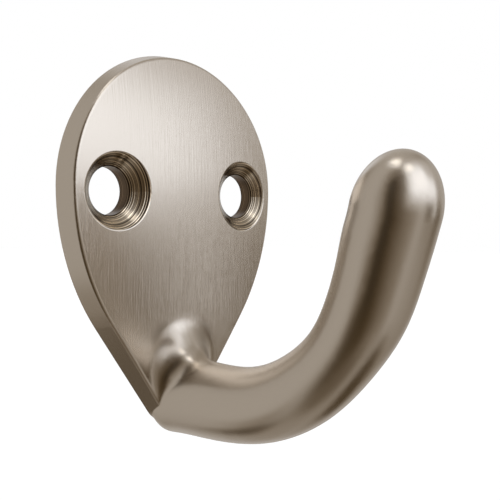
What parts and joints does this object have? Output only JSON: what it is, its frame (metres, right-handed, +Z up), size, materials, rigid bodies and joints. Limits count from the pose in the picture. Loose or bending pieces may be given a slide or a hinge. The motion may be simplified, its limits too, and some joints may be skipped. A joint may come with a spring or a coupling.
{
  "type": "single-prong robe hook",
  "caption": "Egg-shaped domed wall plate with countersunk screw holes and one upturned round-tipped prong, for hanging a robe, coat or towel.",
  "frame": {"origin": "on the flat back of the plate, midway between the screw holes", "axes": "+Z up, +Y into the wall, the prong reaches to -Y; X = 0 is the mirror plane"},
  "size_m": [0.0314, 0.0368, 0.0445],
  "materials": {
    "satin_nickel": "warm satin nickel plating, brushed vertically on the plate's face"
  },
  "bodies": {
    "root": {"robe_hook": "satin_nickel"}
  },
  "joints": []
}
